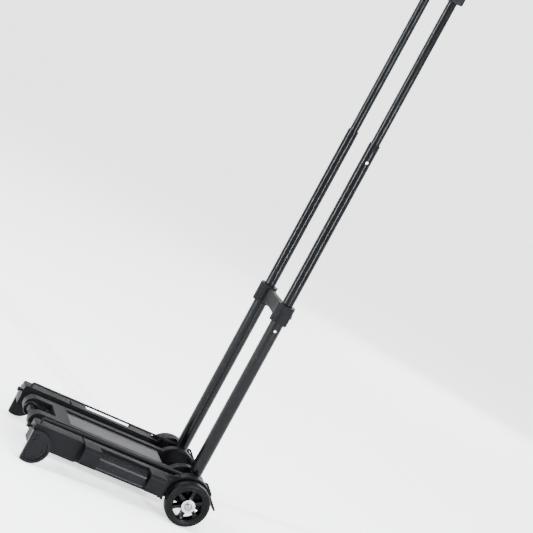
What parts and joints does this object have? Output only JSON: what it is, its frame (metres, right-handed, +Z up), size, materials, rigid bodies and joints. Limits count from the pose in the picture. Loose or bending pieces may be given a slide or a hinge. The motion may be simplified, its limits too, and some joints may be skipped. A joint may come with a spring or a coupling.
{
  "type": "folding luggage cart",
  "caption": "Folding luggage cart: telescopic handle, wheels on a cross axle, and a fold-up load platform with sliding wings, fixed feet and elastic cords.",
  "frame": {"origin": "on the floor, under the middle of the whole cart", "axes": "+Z up along the handle, -Y along the load platform towards its front edge, +X to the cart's left as seen from behind the handle"},
  "size_m": [0.258, 0.3664, 1.049],
  "materials": {
    "axle_steel": "zinc plated",
    "nut_chrome": "bright",
    "screw_steel": "satin",
    "tube_black": "glossy black",
    "pin_steel": "satin",
    "frame_black": "fine matt texture",
    "handle_black": "fine matt texture",
    "button_black": "satin",
    "panel_gloss": "glossy",
    "bush_black": "plain",
    "wheel_gloss": "glossy",
    "tyre_black": "matt",
    "cord_black": "braided elastic",
    "hook_black": "satin"
  },
  "bodies": {
    "base": {"axle": "axle_steel", "axle_washers": "axle_steel", "axle_nuts": "nut_chrome", "wheel_spacers": "axle_steel", "bracket_screws": "screw_steel", "outer_guide_bushes": "bush_black", "crossbar": "frame_black", "crossbar_screws": "screw_steel", "tube_bracket_left": "frame_black", "tube_bracket_right": "frame_black", "outer_tube_left": "tube_black", "outer_tube_right": "tube_black"},
    "mid_stage": {"mid_tube_left": "tube_black", "mid_tube_right": "tube_black", "mid_guide_bushes": "bush_black", "mid_pin_springs": "pin_steel", "mid_lock_plug_left": "bush_black", "mid_lock_plug_right": "bush_black"},
    "handle": {"inner_tube_left": "tube_black", "inner_tube_right": "tube_black", "inner_lock_plug_left": "bush_black", "inner_lock_plug_right": "bush_black", "handle_shell_front": "handle_black", "handle_shell_rear": "handle_black", "handle_screws": "screw_steel", "button_spring": "pin_steel", "inner_pin_springs": "pin_steel"},
    "release": {"push_button": "button_black", "release_bar": "handle_black", "release_rod_left": "pin_steel", "release_rod_right": "pin_steel"},
    "platform": {"platform_frame": "frame_black", "platform_bushes": "bush_black", "centre_panel": "panel_gloss", "front_plate": "frame_black", "front_plate_screws": "screw_steel", "foot_screws": "screw_steel", "cord_hook": "hook_black", "arm_grip_left": "panel_gloss", "arm_grip_right": "panel_gloss", "foot_left": "panel_gloss", "foot_right": "panel_gloss", "cord_knob_left": "panel_gloss", "cord_knob_right": "panel_gloss", "cord_left": "cord_black", "cord_right": "cord_black"},
    "wheel_assembly_left": {"wheel_left": "wheel_gloss", "tyre_left": "tyre_black", "wheel_bush_left": "bush_black"},
    "wing_body_left": {"wing_left": "frame_black"},
    "mid_pin_left": {"mid_lock_pin_left": "pin_steel"},
    "inner_pin_left": {"inner_lock_pin_left": "pin_steel"},
    "wheel_assembly_right": {"wheel_right": "wheel_gloss", "tyre_right": "tyre_black", "wheel_bush_right": "bush_black"},
    "wing_body_right": {"wing_right": "frame_black"},
    "mid_pin_right": {"mid_lock_pin_right": "pin_steel"},
    "inner_pin_right": {"inner_lock_pin_right": "pin_steel"}
  },
  "joints": [
    {"name": "platform_fold", "type": "hinge", "parent": "base", "child": "platform", "pos_m": [0, 0.1258, 0.04], "axis": [-1, 0, 0], "range_deg": [0, 90]},
    {"name": "mid_slide", "type": "slide", "parent": "base", "child": "mid_stage", "axis": [0, 0, -1], "range_m": [0, 0.312]},
    {"name": "handle_slide", "type": "slide", "parent": "mid_stage", "child": "handle", "axis": [0, 0, -1], "range_m": [0, 0.26]},
    {"name": "button_press", "type": "slide", "parent": "handle", "child": "release", "axis": [0, 0, -1], "range_m": [0, 0.004], "stiffness_N_per_m": 900, "deforming": ["button_spring"]},
    {"name": "wheel_spin_left", "type": "hinge", "parent": "base", "child": "wheel_assembly_left", "pos_m": [0, 0.1258, 0.04], "axis": [1, 0, 0], "continuous": true},
    {"name": "wing_slide_left", "type": "slide", "parent": "platform", "child": "wing_body_left", "axis": [-1, 0, 0], "range_m": [0, 0.015]},
    {"name": "mid_pin_press_left", "type": "slide", "parent": "mid_stage", "child": "mid_pin_left", "axis": [-1, 0, 0], "range_m": [0, 0.002]},
    {"name": "inner_pin_press_left", "type": "slide", "parent": "handle", "child": "inner_pin_left", "axis": [-1, 0, 0], "range_m": [0, 0.002]},
    {"name": "wheel_spin_right", "type": "hinge", "parent": "base", "child": "wheel_assembly_right", "pos_m": [0, 0.1258, 0.04], "axis": [1, 0, 0], "continuous": true},
    {"name": "wing_slide_right", "type": "slide", "parent": "platform", "child": "wing_body_right", "axis": [1, 0, 0], "range_m": [0, 0.015]},
    {"name": "mid_pin_press_right", "type": "slide", "parent": "mid_stage", "child": "mid_pin_right", "axis": [1, 0, 0], "range_m": [0, 0.002]},
    {"name": "inner_pin_press_right", "type": "slide", "parent": "handle", "child": "inner_pin_right", "axis": [1, 0, 0], "range_m": [0, 0.002]}
  ]
}
